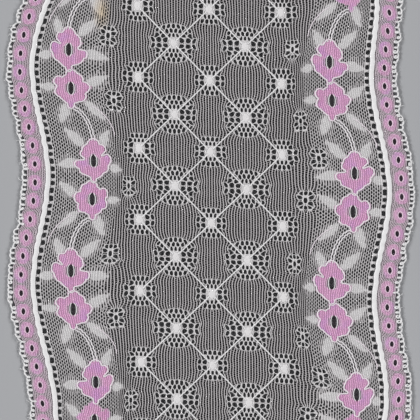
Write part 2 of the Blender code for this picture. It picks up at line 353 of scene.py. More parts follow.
def medallionHole(k, dv, holes):
    # For gap k counted from the middle: whether it is a hole, bundled or knot here, and the hole's width.
    knotGaps, knotHalf = lattice["knot"]
    last = len(holes[1][1]) - 1
    k, away = np.minimum(np.abs(k), last), np.abs(dv)
    hole, within, width = np.zeros(k.shape, bool), np.zeros(k.shape, bool), np.zeros(k.shape)
    inKnot = (k <= knotGaps) & (away < knotHalf)
    for row, (furthest, widths) in holes.items():
        off = np.where(away > lattice["bridge"], np.abs(away - holeLine(row, k)), np.inf)
        opened = (k <= furthest) & ((k + row) % 2 == 0) & (off < lattice["holeHalf"]) & ~inKnot
        within |= (k <= furthest) & (off <= lattice["bandShare"] * lattice["bandPitch"])
        width = np.where(opened, np.array(widths)[k], width)
        hole |= opened
    return hole, within & ~hole & ~inKnot, inKnot, width


def rosetteHole(k, dv):
    # One long hole in the middle, and a ring of ten: three above, three below and two at each side.
    away, k = np.abs(dv), np.abs(k)
    hole = (k == 0) & (away < rosetteShape["middle"])
    for number, (start, end) in rosetteShape["ring"].items():
        hole |= (k == number) & (away > start) & (away < end)
    furthest = rosetteShape["reach"][0]
    width = np.where(k == furthest, rosetteShape["sideWidth"], rosetteShape["width"])
    return hole, (k <= furthest) & (away < rosetteShape["drawn"]) & ~hole, width


def isNear(k, dv, reach):
    # Within a number of gaps and a length.
    return (np.abs(k) <= reach[0]) & (np.abs(dv) < reach[1])


def paint(gap, v, laid=None):
    # The kind of knitting in gap number `gap` at height v, for arrays of both.
    # Once the knit has relaxed, `laid` is where each gap lies, so that flowers, leaves and discs keep
    # their true size.
    u = gapU[gap]
    at = u if laid is None else laid
    kind = np.full(u.shape, kindOf["ground"], np.int8)
    step = -np.cos(2.0 * np.pi * (v - border["pairMiddle"]) / band["repeat"])
    kind[np.abs(u) > border["innerLine"] + np.sign(u) * border["innerStep"] * step] = kindOf["net"]
    flowers = flowerCentres()
    for flower in flowers:
        far = border["leafReach"]
        near = np.nonzero((np.abs(at - flower["u"]) < far) & (np.abs(v - flower["v"]) < far))
        middle = gapU[flower["gap"]] if laid is None else flower["u"]
        du, dv, here = (at - middle)[near], (v - flower["v"])[near], kind[near]
        for leaf in border["leaves"]:
            if leaf["upper"] != flower["upper"]:
                continue
            turn = math.radians(leaf["turn"])
            p, q = flower["hand"] * du - leaf["across"], dv - leaf["along"]
            a = (p * math.cos(turn) + q * math.sin(turn)) / leaf["long"]
            b = (q * math.cos(turn) - p * math.sin(turn)) / leaf["wide"]
            outward = np.sign(leaf["across"] * math.cos(turn) + leaf["along"] * math.sin(turn))
            taper = 1.0 - border["leafTaper"] * outward * a
            longer, broader = border["slitShare"]
            slit = np.abs(b) < broader * (1.0 - (a / longer) ** 2)
            here[slit & (here != kindOf["leaf"])] = kindOf["slit"]
            here[(np.abs(a) < 1.0) & (np.abs(b) < (1.0 - a ** 2) * taper)] = kindOf["leaf"]
        kind[near] = here
    for rosette in rosetteCentres():
        near = isNear(gap - rosette["gap"], v - rosette["v"], rosetteShape["reach"])
        hole, closed, _ = rosetteHole(gap - rosette["gap"], v - rosette["v"])
        kind[near & closed] = kindOf["closed"]
        kind[near & hole] = kindOf["open"]
    for flower in flowers:
        far = border["flowerReach"]
        near = np.nonzero((np.abs(at - flower["u"]) < far) & (np.abs(v - flower["v"]) < far))
        middle = gapU[flower["gap"]] if laid is None else flower["u"]
        du, dv, here = (at - middle)[near], (v - flower["v"])[near], kind[near]
        here[insidePetals(du + drift(v[near], flower), dv, flower)] = kindOf["pink"]
        away = np.abs(gap[near] - flower["gap"])
        here[(away == 0) & (np.abs(dv) < border["eye"][1])] = kindOf["open"]
        for number, half in border["slits"].items():
            here[(away == number) & (np.abs(dv) < half)] = kindOf["eyeSlit"]
        kind[near] = here
    for knot in knotCentres():
        k = gap - nearestGap(knot["u"])
        near = isNear(k, v - knot["v"], lattice["reach"])
        hole, closed, inKnot, _ = medallionHole(k, v - knot["v"], knot["holes"])
        kind[near & closed] = kindOf["closed"]
        kind[near & hole] = kindOf["open"]
        kind[near & inKnot] = kindOf["knot"]
    kind[np.abs(u) > wales["netEdge"]] = kindOf["ladder"]
    kind[np.abs(u) > wales["cordonPair"][0]] = kindOf["under"]
    kind[np.abs(u) > wales["cordonPair"][1]] = kindOf["dots"]
    kind[np.abs(u) > wales["cordonPair"][1] + braid["meshFrom"]] = kindOf["mesh"]
    pitch = band["repeat"] / braid["rings"]
    for ring in ringCentres():
        du, dv = at - ring["u"], v - ring["v"]
        kind[(du / braid["disc"][0]) ** 2 + (dv / braid["disc"][1]) ** 2 < 1.0] = kindOf["disc"]
        kind[(gap == ring["gap"]) & (np.abs(dv) < braid["eye"][1])] = kindOf["open"]
        kind[(gap == ring["gap"]) & (np.abs(dv - pitch / 2.0) < braid["dot"])] = kindOf["open"]
    return kind


# The knit relaxes: each gap seeks its width, each wale resists bending and stays near its needle.
relax = {
    "along": (-100.0, 102.0),    # the grid runs from one to the other
    "step": 0.4,                 # between rows of the grid
    "bend": 0.8,
    "tension": 0.15,
    "anchor": 0.008,             # how firmly a wale stays at its needle
    "cordonHold": 20.0,          # the same for the wales beside the cordon
    "netHold": 1.0,              # for the thin one inside the ladder
    "edgeHold": 2.0,             # and for the outermost
    "held": 2.4,                 # half length over which a figure's two middle wales are held
    "hold": 2.0,
    "turns": 500,
}
# width that each kind of gap seeks, and how strongly
targets = {
    "ground": (1.0577, 0.3), "net": (0.893, 0.4), "slit": (0.85, 0.4), "leaf": (0.87, 0.8),
    "pink": (0.86, 1.0), "closed": (lattice["bundle"], 4.0), "knot": (0.78, 4.0),
    "open": (0.55, 4.0), "eyeSlit": (0.74, 1.0), "disc": (0.60, 2.0),
}

gridV = np.arange(*relax["along"], relax["step"])
gridGap, gridAlong = np.meshgrid(np.arange(len(gapU)), gridV, indexing="ij")
gridKind = paint(gridGap, gridAlong)


def gapTargets():
    # The width that each gap seeks in each row: by its kind, and then by its hole or its eye.
    gap, v = gridGap, gridAlong
    target = np.repeat(gapNominal[:, None], len(gridV), axis=1)
    strength = np.ones(target.shape)
    for name, (width, firm) in targets.items():
        target = np.where(gridKind == kindOf[name], width, target)
        strength = np.where(gridKind == kindOf[name], firm, strength)
    for knot in knotCentres():
        k = gap - nearestGap(knot["u"])
        hole, _, _, width = medallionHole(k, v - knot["v"], knot["holes"])
        target = np.where(isNear(k, v - knot["v"], lattice["widened"]) & hole, width, target)
    for rosette in rosetteCentres():
        k = gap - rosette["gap"]
        hole, _, width = rosetteHole(k, v - rosette["v"])
        target = np.where(isNear(k, v - rosette["v"], rosetteShape["reach"]) & hole, width, target)
    eyes = [(flower, border["eye"], border["eyeYarn"]) for flower in flowerCentres()]
    eyes += [(ring, braid["eye"], braid["eyeYarn"]) for ring in ringCentres()]
    for place, eye, yarn in eyes:
        dv = (v - place["v"]) / eye[1]
        wide = yarn + 2.0 * eye[0] * np.sqrt(np.maximum(0.0, 1.0 - dv * dv))
        target = np.where((gap == place["gap"]) & (np.abs(dv) < 1.0), wide, target)
    return target, strength


def relaxedWales():
    # Least squares over all the wales at once, by conjugate gradients.
    target, strength = gapTargets()
    nominal = np.repeat(waleU[:, None], len(gridV), axis=1)
    anchor = np.full(waleU.shape, relax["anchor"])
    anchor[np.isin(np.round(np.abs(waleU), 3), wales["cordonPair"])] = relax["cordonHold"]
    anchor[np.isclose(np.abs(waleU), wales["netEdge"])] = relax["netHold"]
    anchor[[0, -1]] = relax["edgeHold"]
    anchor = np.repeat(anchor[:, None], len(gridV), axis=1)
    for place in flowerCentres() + rosetteCentres() + knotCentres():
        # The two wales beside the middle of each figure are held where it belongs.
        gap = place.get("gap", nearestGap(place["u"]))
        rows = np.abs(gridV - place["v"]) < relax["held"]
        middle = place["u"] - (drift(gridV[rows], place) if "petals" in place else 0.0)
        anchor[gap:gap + 2, rows] = relax["hold"]
        nominal[gap, rows] = middle - target[gap, rows] / 2.0
        nominal[gap + 1, rows] = middle + target[gap, rows] / 2.0

    def pull(x):
        out = anchor * x
        gaps = strength * np.diff(x, axis=0)
        out[1:] += gaps
        out[:-1] -= gaps
        slope = np.diff(x, axis=1)
        out[:, 1:] += relax["tension"] * slope
        out[:, :-1] -= relax["tension"] * slope
        curve = np.diff(slope, axis=1)
        out[:, 2:] += relax["bend"] * curve
        out[:, 1:-1] -= 2.0 * relax["bend"] * curve
        out[:, :-2] += relax["bend"] * curve
        return out

    wanted = anchor * nominal
    wanted[1:] += strength * target
    wanted[:-1] -= strength * target
    x = nominal.copy()
    left = wanted - pull(x)
    way = left.copy()
    size = float((left * left).sum())
    for _ in range(relax["turns"]):
        moved = pull(way)
        share = size / float((way * moved).sum())
        x += share * way
        left -= share * moved
        new = float((left * left).sum())
        way = left + (new / size) * way
        size = new
    print("knit relaxed, residual", round(math.sqrt(size), 5))
    return x


relaxedU = relaxedWales()


def waleAt(wale, v):
    # Where wale number `wale` lies at height v: a straight line between rows of the grid.
    place = np.clip((v - gridV[0]) / relax["step"], 0.0, len(gridV) - 1.001)
    row = place.astype(int)
    part = place - row
    return relaxedU[wale, row] * (1.0 - part) + relaxedU[wale, row + 1] * part


def relaxedMiddle(gap, v):
    # Half way between the two wales of a gap.
    return (waleAt(gap, v) + waleAt(gap + 1, v)) / 2.0


gridKind = paint(gridGap, gridAlong, relaxedMiddle(gridGap, gridAlong))


def makeMesh(name, batches):
    # One mesh from batches of (points in mm, face arrays, yarn values by name), with the faces renumbered.
    points, faces, start = [], [], 0
    # upperSide is not a yarn value: where it is 0, the material paints shade.
    yarns = {"pinkYarn": [], "denseKnit": [], "evenFace": [], "upperSide": []}
    for batchPoints, batchFaces, values in batches:
        points.append(batchPoints)
        faces.extend(face + start for face in batchFaces)
        start += len(batchPoints)
        for label, parts in yarns.items():
            usual = 0.0 if label == "evenFace" else 1.0
            parts.append(np.broadcast_to(values.get(label, usual), len(batchPoints)))
    mesh = bpy.data.meshes.new(name)
    mesh.vertices.add(start)
    mesh.vertices.foreach_set("co", (np.concatenate(points) * mm).astype(np.float32).ravel())
    sizes = np.concatenate([np.full(len(face), face.shape[1]) for face in faces])
    corners = np.concatenate([face.ravel() for face in faces])
    mesh.loops.add(len(corners))
    mesh.loops.foreach_set("vertex_index", corners.astype(np.int32))
    mesh.polygons.add(len(sizes))
    mesh.polygons.foreach_set("loop_start", (np.cumsum(sizes) - sizes).astype(np.int32))
    mesh.update(calc_edges=True)
    mesh.shade_smooth()
    for label, parts in yarns.items():
        layer = mesh.attributes.new(label, "FLOAT", "POINT")
        layer.data.foreach_set("value", np.concatenate(parts).astype(np.float32))
    piece = bpy.data.objects.new(name, mesh)
    bpy.context.scene.collection.objects.link(piece)
    print(name, int((sizes - 2).sum()), "triangles")
    return piece


def perWale(values):
    # A value for each gap, averaged over the two gaps beside each wale.
    return (np.concatenate([values[:1], values]) + np.concatenate([values, values[-1:]])) / 2.0


# half width and top of a wale, how pink and how dense its yarn is, and how even its face is
waleStyle = {
    "ground": (0.15, 0.92, 0.00, 0.0, 0.0), "net": (0.125, 0.90, 0.00, 0.3, 0.0),
    "slit": (0.18, 0.92, 0.00, 0.1, 0.0), "leaf": (0.48, 0.98, 0.00, 0.9, 0.7),
    "pink": (0.47, 1.02, 1.00, 1.0, 0.9), "eyeSlit": (0.17, 1.00, 0.60, 0.3, 0.3),
    "open": (0.15, 0.92, 0.00, 0.8, 0.0), "closed": (0.15, 0.92, 0.00, 0.8, 0.0),
    "knot": (0.32, 0.95, 0.00, 0.8, 0.0), "ladder": (0.20, 0.95, 0.00, 0.6, 0.0),
    "under": (0.25, 0.80, 0.00, 0.5, 0.0), "dots": (0.16, 0.85, 0.15, 0.1, 0.0),
    "mesh": (0.15, 0.86, 0.20, 0.0, 0.2), "disc": (0.34, 0.96, 0.85, 0.6, 0.9),
}
# number in a repeat, shift on every other gap, half length at the wales and half way between, foot, top
tieStyle = {
    "ground": (98, 0.5, 0.22, 0.12, 0.25, 0.66), "net": (62, 0.5, 0.38, 0.19, 0.25, 0.80),
    "slit": (38, 0.37, 0.60, 0.40, 0.25, 0.80), "leaf": (98, 0.0, 0.43, 0.43, 0.60, 0.92),
    "pink": (98, 0.0, 0.43, 0.43, 0.60, 0.96), "closed": (98, 0.0, 0.43, 0.43, 0.50, 0.90),
    "knot": (98, 0.0, 0.43, 0.43, 0.50, 0.90), "ladder": (30, 0.0, 0.76, 0.38, 0.25, 0.90),
    "under": (60, 0.0, 0.70, 0.70, 0.25, 0.75), "dots": (98, 0.5, 0.30, 0.22, 0.25, 0.80),
    "mesh": (98, 0.5, 0.32, 0.22, 0.25, 0.78), "disc": (98, 0.0, 0.43, 0.43, 0.60, 0.92),
}
# The wales swing from side to side where they are tied in turn: number in a repeat, and how far.
zigzag = {"net": (62, 0.11), "ground": (98, 0.05)}
zigzagSwing = {
    name: perWale(np.where(gridKind == kindOf[name], swing, 0.0)) for name, (_, swing) in zigzag.items()
}
knit = {
    "foot": 0.12,                # height of the keel
    "loose": 0.05,               # how far a tie strays from its place, in pitches
    "level": 0.015,              # every other wale lies this much higher
    "groundFrom": 39.5,          # the ground panel is the wales inside this
    "borderRows": 248,           # in each repeat
    "groundRows": 192,
    "waleReach": 94.0,           # rows are worked out this far along, and then cut at the ends
    "tieReach": 96.0,
    "tieDip": 0.04,              # a tie is this much lower half way
    "spread": 1e-4,              # rows that would fall together are this far apart, in pitches
}


def gridRow(v):
    # The nearest row of the grid.
    return np.clip(((v - gridV[0]) / relax["step"]).round().astype(int), 0, len(gridV) - 1)


def swungWale(wale, v):
    # The relaxed wale with its swing towards each tie: even wales one way, odd wales the other.
    u = waleAt(wale, v)
    for name, (turns, _) in zigzag.items():
        swing = zigzagSwing[name][wale, gridRow(v)] * (1.0 - 2.0 * (wale % 2))
        u = u + swing * np.cos(2.0 * np.pi * v * turns / band["repeat"])
    return u


def waleBatch(first, last, rowsInRepeat):
    # Each wale is three-sided: its top is as wide as the yarn, and a keel below shades the holes beside it.
    wale = np.arange(first, last)[:, None]
    low, high = endV(waleU[wale], -1), endV(waleU[wale], 1)
    pitch = band["repeat"] / rowsInRepeat
    reach = int(knit["waleReach"] / pitch)
    v = np.clip(np.arange(-reach, reach + 1)[None, :] * pitch, low, high)
    inner = ((v > low) & (v < high)).any(axis=0)
    kept = np.nonzero(inner)[0]
    v = v[:, kept[0] - 1:kept[-1] + 2]
    # Rows beyond a cut end would fall together on it, so they are spread out just inside it.
    order = np.arange(v.shape[1])[None, :]
    v = v + knit["spread"] * pitch * np.where(v <= low, order, 0)
    v = v - knit["spread"] * pitch * np.where(v >= high, order.max() - order, 0)
    v[:, 0], v[:, -1] = low[:, 0], high[:, 0]
    wale = np.broadcast_to(wale, v.shape)
    middle = swungWale(wale, v)
    row = gridRow(v)
    half, top, pink, dense, even = (
        perWale(np.array([waleStyle[name][i] for name in kindNames])[gridKind])[wale, row] for i in range(5)
    )
    top = top + knit["level"] * (wale % 2)
    keel = placed(middle, v, knit["foot"])
    points = np.stack([placed(middle - half, v, top), placed(middle + half, v, top), keel], axis=2)
    index = np.arange(v.size * 3).reshape(*v.shape, 3)
    left, right, low = index[..., 0], index[..., 1], index[..., 2]
    quads = np.concatenate([
        np.stack([a[:, :-1], b[:, :-1], b[:, 1:], a[:, 1:]], axis=-1).reshape(-1, 4)
        for a, b in ((left, right), (right, low), (low, left))
    ])
    caps = np.concatenate([
        np.stack([left[:, 0], low[:, 0], right[:, 0]], axis=-1),
        np.stack([left[:, -1], right[:, -1], low[:, -1]], axis=-1),
    ])
    # upperSide is 0 on the keel, whose flanks the yarn material paints in shade.
    upper = np.tile([1.0, 1.0, 0.0], v.size)
    values = {"pinkYarn": np.repeat(pink.ravel(), 3), "denseKnit": np.repeat(dense.ravel(), 3),
              "evenFace": np.repeat(even.ravel(), 3), "upperSide": upper}
    return points.reshape(-1, 3), [quads, caps], values


def tieBatch(name, first, last, seed):
    # Short bars from wale to wale, flared where they meet them, so that the holes between come out round.
    inRepeat, shift, endHalf, midHalf, foot, top = tieStyle[name]
    pitch = band["repeat"] / inRepeat
    gaps = np.arange(first, last)
    reach = int(knit["tieReach"] / pitch)
    steps = np.arange(-reach, reach)
    gap, step = (grid.ravel() for grid in np.meshgrid(gaps, steps, indexing="ij"))
    random = np.random.default_rng(seed)
    v = (step + shift * (gap % 2)) * pitch + random.normal(0.0, knit["loose"] * pitch, gap.shape)
    keep = inBand(gapU[gap], v, endHalf)
    gap, v = gap[keep], v[keep]
    keep = paint(gap, v, relaxedMiddle(gap, v)) == kindOf[name]
    gap, v = gap[keep], v[keep]
    if not len(gap):
        return None
    sections = []
    middle = (0.5, midHalf, top - knit["tieDip"])
    for across, half, crest in ((0.0, endHalf, top), middle, (1.0, endHalf, top)):
        for along, z in ((-half, crest), (half, crest), (0.0, foot)):
            u = swungWale(gap, v + along) * (1.0 - across) + swungWale(gap + 1, v + along) * across
            sections.append(placed(u, v + along, z))
    points = np.stack(sections, axis=1).reshape(-1, 3)
    start = 9 * np.arange(len(gap))[:, None]
    sides = [(s + i, s + (i + 1) % 3) for s in (0, 3) for i in range(3)]
    quads = np.array([[a, a + 3, b + 3, b] for a, b in sides])
    quads = (start[:, None] + quads[None]).reshape(-1, 4)
    caps = (start[:, None] + np.array([[0, 1, 2], [6, 8, 7]])[None]).reshape(-1, 3)
    # upperSide is 0 on the keel, whose flanks the yarn material paints in shade.
    upper = np.tile([1.0, 1.0, 0.0], 3 * len(gap))
    pink, dense, even = waleStyle[name][2:]
    values = {"pinkYarn": pink, "denseKnit": dense, "evenFace": even, "upperSide": upper}
    return points, [quads, caps], values


def knitPanels():
    # The band in three widths, the wales of each in one mesh and the yarns laid in across them in another.
    middle = np.nonzero(np.abs(waleU) < knit["groundFrom"])[0]
    panels = []
    for name, first, last, rows in (
        ("left_border", 0, middle[0], knit["borderRows"]),
        ("ground", middle[0], middle[-1] + 1, knit["groundRows"]),
        ("right_border", middle[-1] + 1, len(waleU), knit["borderRows"]),
    ):
        chains = makeMesh(name + "_wales", [waleBatch(first, last, rows)])
        end = min(last, len(gapU))
        batches = [tieBatch(kind, first, end, 50 * first + seed) for seed, kind in enumerate(tieStyle)]
        ties = makeMesh(name + "_ties", [batch for batch in batches if batch])
        panels.append((chains, ties))
    return panels


def threadBatch(paths, radius, sides=6, flat=1.0, closed=False, pink=0.0):
    # Round threads along paths of shape (threads, points, 3): a ring of `sides` points across each point.
    if closed:
        ahead, behind = np.roll(paths, -1, axis=1), np.roll(paths, 1, axis=1)
    else:
        ahead = np.concatenate([paths[:, 1:], paths[:, -1:]], axis=1)
        behind = np.concatenate([paths[:, :1], paths[:, :-1]], axis=1)
    along = ahead - behind
    side = np.stack([-along[..., 1], along[..., 0], np.zeros(along.shape[:2])], axis=-1)
    side /= np.maximum(np.linalg.norm(side, axis=-1, keepdims=True), 1e-9)
    angle = 2.0 * np.pi * np.arange(sides) / sides
    radius = np.broadcast_to(radius, paths.shape[:2])[..., None, None]
    upward = np.array([0.0, 0.0, flat])
    ring = side[:, :, None, :] * np.cos(angle)[:, None] + upward * np.sin(angle)[:, None]
    points = paths[:, :, None, :] + radius * ring
    index = np.arange(paths.shape[0] * paths.shape[1] * sides).reshape(*paths.shape[:2], sides)
    after = np.roll(index, -1, axis=1) if closed else index[:, 1:]
    here = index if closed else index[:, :-1]
    corners = [here, np.roll(here, -1, axis=2), np.roll(after, -1, axis=2), after]
    quads = np.stack(corners, axis=-1).reshape(-1, 4)
    faces = [quads] if closed else [quads, index[:, 0, ::-1], index[:, -1]]
    return points.reshape(-1, 3), faces, {"pinkYarn": pink}


latticeCord = {
    "radius": 0.24, "height": 0.98, "points": 48, "wobble": 0.10, "turns": 13,
    "share": (0.07, 0.93),       # of the way from one knot's middle to the next
    "rise": 0.05, "margin": 0.3, "fewest": 4,
}


def latticeCords():
    # Straight runs from knot to knot, with a slight wobble from wale to wale, cut off at the band's ends.
    random = np.random.default_rng(5)
    share = np.linspace(*latticeCord["share"], latticeCord["points"])
    batches = []
    for knot in knotCentres():
        for side in (-1, 1):
            if abs(knot["column"] + side) > 2:
                continue
            turn = 2.0 * np.pi * latticeCord["turns"] * share + random.uniform(0.0, 2.0 * np.pi)
            u = knot["u"] + side * lattice["columnPitch"] * share + latticeCord["wobble"] * np.sin(turn)
            v = knot["v"] - lattice["rowPitch"] * share
            keep = inBand(u, v, latticeCord["margin"])
            if keep.sum() < latticeCord["fewest"]:
                continue
            path = placed(u, v, latticeCord["height"] + latticeCord["rise"] * np.cos(turn))[keep]
            batches.append(threadBatch(path[None], latticeCord["radius"]))
    return makeMesh("lattice_cords", batches)


knotPad = {
    "size": (1.70, 2.15), "low": 0.60, "top": 1.12, "rings": 5, "around": 24,
    "rim": 0.16, "rimHeight": 0.95,
    "round": 0.6, "sixSided": 0.4,   # shares of the outline
    "middle": 0.15,              # the innermost ring's share of the size
    "vary": (0.92, 1.06), "lobes": 0.05, "uneven": 0.02, "margin": 0.5,
}


def knotPads():
    # A felted six-sided pad with a low crown and a thread round it.
    batches = []
    around, rings = knotPad["around"], knotPad["rings"]
    angle = 2.0 * np.pi * np.arange(around) / around
    six = np.cos(np.pi / 6) / np.cos((angle + np.pi / 6) % (np.pi / 3) - np.pi / 6)
    six = knotPad["round"] + knotPad["sixSided"] * six / six.max()
    share = np.linspace(1.0, knotPad["middle"], rings)[:, None]
    random = np.random.default_rng(11)
    for knot in knotCentres():
        if not inBand(knot["u"], knot["v"], knotPad["size"][1] + knotPad["margin"]):
            continue
        size = np.array(knotPad["size"]) * random.uniform(*knotPad["vary"], 2)
        edge = six * (1.0 + knotPad["lobes"] * np.cos(3.0 * angle + random.uniform(0.0, 6.0)))
        du, dv = size[0] * edge * np.sin(angle), size[1] * edge * np.cos(angle)
        pad = placed(knot["u"] + share * du, knot["v"] + share * dv, 0.0)
        crown = knotPad["low"] + (knotPad["top"] - knotPad["low"]) * np.sqrt(1.0 - share ** 4)
        pad[..., 2] = crown + random.normal(0.0, knotPad["uneven"], du.shape)
        index = np.arange(rings * around).reshape(rings, around)
        corners = [index[:-1], index[1:], np.roll(index[1:], -1, axis=1), np.roll(index[:-1], -1, axis=1)]
        faces = [np.stack(corners, axis=-1).reshape(-1, 4), index[-1:, ::-1], index[:1]]
        batches.append((pad.reshape(-1, 3), faces, {"pinkYarn": 0.0}))
        rim = placed(knot["u"] + du, knot["v"] + dv, knotPad["rimHeight"])
        batches.append(threadBatch(rim[None], knotPad["rim"], closed=True))
    return makeMesh("knot_pads", batches)


outline = {
    "petal": 0.25, "points": 96, "height": 1.02, "step": 0.09, "steps": 11, "pink": 0.12,
    "margin": 8.7,               # a flower nearer than this to a cut end has no outline
    "rim": 0.15, "rimPoints": 17, "rimHeight": 1.0, "rimMargin": 3.0, "rimPink": 0.05,
    "rimShare": 0.95,            # of the eye's half length
}


def flowerOutlines():
    # A pink-white thread round each flower, stepped a little from wale to wale, and thin ones beside its eye.
    angle = 2.0 * np.pi * np.arange(outline["points"]) / outline["points"]
    petals, rims = [], []
    for flower in flowerCentres():
        if inBand(flower["u"], flower["v"], outline["margin"]):
            u, v = petalPoint(angle, flower)
            u = u + outline["step"] * np.sin(outline["steps"] * angle)
            petals.append(placed(u, v, outline["height"]))
        if inBand(flower["u"], flower["v"], outline["rimMargin"]):
            share = np.linspace(-outline["rimShare"], outline["rimShare"], outline["rimPoints"])
            v = flower["v"] + border["eye"][1] * share
            rims += [placed(waleAt(flower["gap"] + side, v), v, outline["rimHeight"]) for side in (0, 1)]
    return makeMesh("flower_outlines", [
        threadBatch(np.array(petals), outline["petal"], closed=True, pink=outline["pink"]),
        threadBatch(np.array(rims), outline["rim"], pink=outline["rimPink"]),
    ])


cordon = {
    "line": 65.7, "radius": 0.92, "flat": 0.50, "height": 0.92, "step": 0.30, "sides": 12,
    "uneven": 0.03, "lumps": 60, "twist": 2.74,
}


def cordonCord(side):
    # A thick laid-in cord with a low twist, drawn a little thinner between its lumps.
    low, high = (float(endV(np.array(side * cordon["line"]), end)) for end in (-1, 1))
    v = np.linspace(low, high, int((high - low) / cordon["step"]))
    random = np.random.default_rng(20 + side)
    lumps = cordon["lumps"]
    uneven = np.interp(v, np.linspace(low, high, lumps), random.normal(0.0, cordon["uneven"], lumps))
    twist = cordon["uneven"] * np.sin(2.0 * np.pi * v / cordon["twist"])
    radius = cordon["radius"] * (1.0 + twist + uneven)
    u = np.full(v.shape, side * cordon["line"])
    batch = threadBatch(placed(u, v, cordon["height"])[None], radius[None], cordon["sides"], cordon["flat"])
    return makeMesh("left_cordon" if side < 0 else "right_cordon", [batch])


picot = {
    "inRepeat": 45, "line": 74.55, "stray": 0.30, "out": (0.50, 1.00), "back": (0.32, 0.90), "radius": 0.30,
    "height": 0.62, "points": 14, "margin": 0.9,
    "spread": 0.12, "swell": 0.20, "lift": 0.08,     # how far the loops stray along and up
    "between": (0.35, 1.1),      # heights that they stay between
}
strayFibre = {
    "count": 46, "line": 74.9, "radius": 0.07, "sides": 4, "points": 7, "long": (0.8, 2.4), "margin": 1.0,
    "heading": 0.8, "curl": 0.9,     # radians
    "height": 0.7, "fall": 0.35,
}


def picotEdge(side):
    # A thread that goes round once for each picot while it moves along the edge, and stray fibres.
    # Where it goes back less than it moves on, the picot stays an open wave.
    pitch = band["repeat"] / picot["inRepeat"]
    low, high = (float(endV(np.array(side * picot["line"]), end)) - end * picot["margin"] for end in (-1, 1))
    loops = int((high - low) / pitch)
    random = np.random.default_rng(40 + side)
    turn = np.linspace(0.0, loops, loops * picot["points"] + 1)
    knots = np.arange(loops + 2)
    out, back = (np.interp(turn, knots, random.uniform(*picot[name], loops + 2)) for name in ("out", "back"))
    stray, spread, lift = (np.interp(turn, knots, random.normal(0.0, 1.0, loops + 2)) for _ in range(3))
    phase = 2.0 * np.pi * turn
    v = low + (turn + picot["spread"] * spread) * pitch - back * np.sin(phase)
    u = picot["line"] + picot["stray"] * stray - out * np.cos(phase)
    z = picot["height"] + picot["swell"] * np.sin(phase + 0.8) + picot["lift"] * lift
    loop = placed(side * u, v, np.clip(z, *picot["between"]))
    radius = picot["radius"] * (1.0 + 0.15 * np.sin(2.3 * phase) + 0.10 * np.cos(phase))
    batches = [threadBatch(loop[None], radius[None])]
    count = strayFibre["count"]
    start = random.uniform(low + strayFibre["margin"], high - strayFibre["margin"], count)
    heading = random.normal(0.0, strayFibre["heading"], count)
    curl = random.normal(0.0, strayFibre["curl"], count)
    far = random.uniform(*strayFibre["long"], count)
    share = np.linspace(0.0, 1.0, strayFibre["points"])[None, :]
    angle = heading[:, None] + curl[:, None] * share
    u = side * (strayFibre["line"] + far[:, None] * share * np.cos(angle))
    v = start[:, None] + far[:, None] * share * np.sin(angle)
    z = strayFibre["height"] - strayFibre["fall"] * share
    batches.append(threadBatch(placed(u, v, z), strayFibre["radius"], strayFibre["sides"]))
    return makeMesh("left_picots" if side < 0 else "right_picots", batches)


holeRing = {"radius": 0.09, "half": 1.16, "points": 12, "sides": 4, "height": 0.84, "margin": 1.4}


def figureHoles():
    # Gap number, v and half length of every hole in the medallions and rosettes.
    knotGaps, knotHalf = lattice["knot"]
    holes = []
    for knot in knotCentres():
        middle = nearestGap(knot["u"])
        for row, (furthest, _) in knot["holes"].items():
            for k in range(-furthest, furthest + 1):
                along = holeLine(row, abs(k))
                if (k + row) % 2 == 0 and (abs(k) > knotGaps or along > knotHalf):
                    holes += [(middle + k, knot["v"] + way * along, holeRing["half"]) for way in (-1, 1)]
    for rosette in rosetteCentres():
        holes.append((rosette["gap"], rosette["v"], rosetteShape["middleRing"]))
        for k, along, half in rosetteShape["rings"]:
            holes += [(rosette["gap"] + k, rosette["v"] + way * along, half) for way in (-1, 1)]
    return np.array([hole for hole in holes if inBand(gapU[hole[0]], hole[1], holeRing["margin"])])


def holeRings():
    # The yarn that is drawn round each hole, an oval held between its two wales.
    holes = figureHoles()
    gap, v, half = holes[:, 0].astype(int)[:, None], holes[:, 1:2], holes[:, 2:3]
    angle = 2.0 * np.pi * np.arange(holeRing["points"])[None, :] / holeRing["points"]
    along = v + half * np.sin(angle)
    gap, v = np.broadcast_to(gap, along.shape), np.broadcast_to(v, along.shape)
    wide = waleAt(gap + 1, v) - waleAt(gap, v)
    left, right = waleAt(gap, along), waleAt(gap + 1, along)
    across = np.clip(wide * np.cos(angle), left - right, right - left) / 2.0
    path = placed((left + right) / 2.0 + across, along, holeRing["height"])
    return makeMesh("hole_rings", [threadBatch(path, holeRing["radius"], holeRing["sides"], closed=True)])


halo = {"radius": 0.22, "points": 24, "height": 0.90, "away": 0.22, "margin": 2.0, "pink": 0.45}


def braidHalos():
    # A pale pink soft thread round each eye of the braid.
    angle = 2.0 * np.pi * np.arange(halo["points"]) / halo["points"]
    rings = [
        placed(ring["u"] + (braid["eye"][0] + halo["away"]) * np.cos(angle),
               ring["v"] + (braid["eye"][1] + halo["away"]) * np.sin(angle), halo["height"])
        for ring in ringCentres() if inBand(ring["u"], ring["v"], halo["margin"])
    ]
    thread = threadBatch(np.array(rings), halo["radius"], closed=True, pink=halo["pink"])
    return makeMesh("braid_halos", [thread])


stem = {
    "radius": 0.22, "apart": 0.55, "wiggle": 0.13, "turns": 8, "points": 72, "start": (-0.5, -7.3),
    "across": 5.1, "drop": 12.0, "bend": (2.4, 1.5), "height": 0.98, "margin": 1.0, "pink": 0.05,
}
tendril = {
    "radius": 0.16, "start": (6.6, -6.2), "across": 7.2, "drop": 10.6, "bend": (1.8, 1.3), "pink": 0.15,
}


def bentPath(flower, shape, share):
    # From a lower flower the thread swings across at first, and then hangs down towards the next flower.
    swing = shape["across"] * (1.0 - (1.0 - share) ** shape["bend"][0])
    u = flower["u"] + flower["hand"] * (shape["start"][0] + swing)
    return u, flower["v"] + shape["start"][1] - shape["drop"] * share ** shape["bend"][1]


